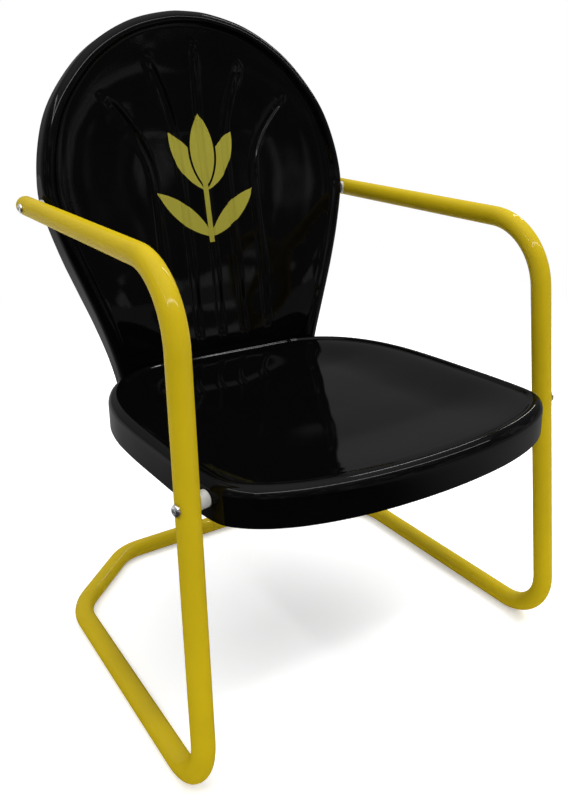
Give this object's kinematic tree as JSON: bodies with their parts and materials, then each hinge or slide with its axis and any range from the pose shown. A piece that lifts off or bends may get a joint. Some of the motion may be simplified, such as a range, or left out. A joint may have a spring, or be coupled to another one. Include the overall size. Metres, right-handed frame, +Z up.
{
  "type": "metal lawn chair",
  "caption": "Garden armchair with a pressed steel seat and rounded, fluted back on a springy cantilever frame of bent steel tube.",
  "frame": {"origin": "on the floor, under the middle of the chair's width and depth", "axes": "+Z up; the chair faces -Y, so +Y points to its rear; +X is to the right as seen from its front"},
  "size_m": [0.5582, 0.5868, 0.8326],
  "materials": {
    "shell_enamel": "gloss",
    "frame_enamel": "gloss",
    "zinc_steel": "bright zinc plate",
    "spacer_plastic": "satin"
  },
  "bodies": {
    "base": {"crossbar_sleeve": "zinc_steel", "base_tube_left": "frame_enamel", "sleeve_screw_left": "zinc_steel", "base_tube_right": "frame_enamel", "sleeve_screw_right": "zinc_steel"},
    "sprung_seat": {"back_shell": "shell_enamel", "seat_shell": "shell_enamel", "arm_tube_left": "frame_enamel", "arm_cap_left": "frame_enamel", "arm_bolt_left": "zinc_steel", "arm_spacer_left": "spacer_plastic", "arm_washer_left": "zinc_steel", "arm_nut_left": "zinc_steel", "leg_bolt_left": "zinc_steel", "leg_spacer_left": "spacer_plastic", "leg_washer_left": "zinc_steel", "leg_nut_left": "zinc_steel", "arm_tube_right": "frame_enamel", "arm_cap_right": "frame_enamel", "arm_bolt_right": "zinc_steel", "arm_spacer_right": "spacer_plastic", "arm_washer_right": "zinc_steel", "arm_nut_right": "zinc_steel", "leg_bolt_right": "zinc_steel", "leg_spacer_right": "spacer_plastic", "leg_washer_right": "zinc_steel", "leg_nut_right": "zinc_steel", "lap_bolt_1": "zinc_steel", "lap_washer_1": "zinc_steel", "lap_nut_1": "zinc_steel", "lap_bolt_2": "zinc_steel", "lap_washer_2": "zinc_steel", "lap_nut_2": "zinc_steel", "lap_bolt_3": "zinc_steel", "lap_washer_3": "zinc_steel", "lap_nut_3": "zinc_steel", "lap_bolt_4": "zinc_steel", "lap_washer_4": "zinc_steel", "lap_nut_4": "zinc_steel"}
  },
  "joints": [
    {"name": "frame_spring", "type": "hinge", "parent": "base", "child": "sprung_seat", "pos_m": [0, -0.22867, 0.08495], "axis": [-1, 0, 0], "range_deg": [-1, 3], "stiffness_Nm_per_rad": 8000, "springref_deg": -0.15}
  ]
}
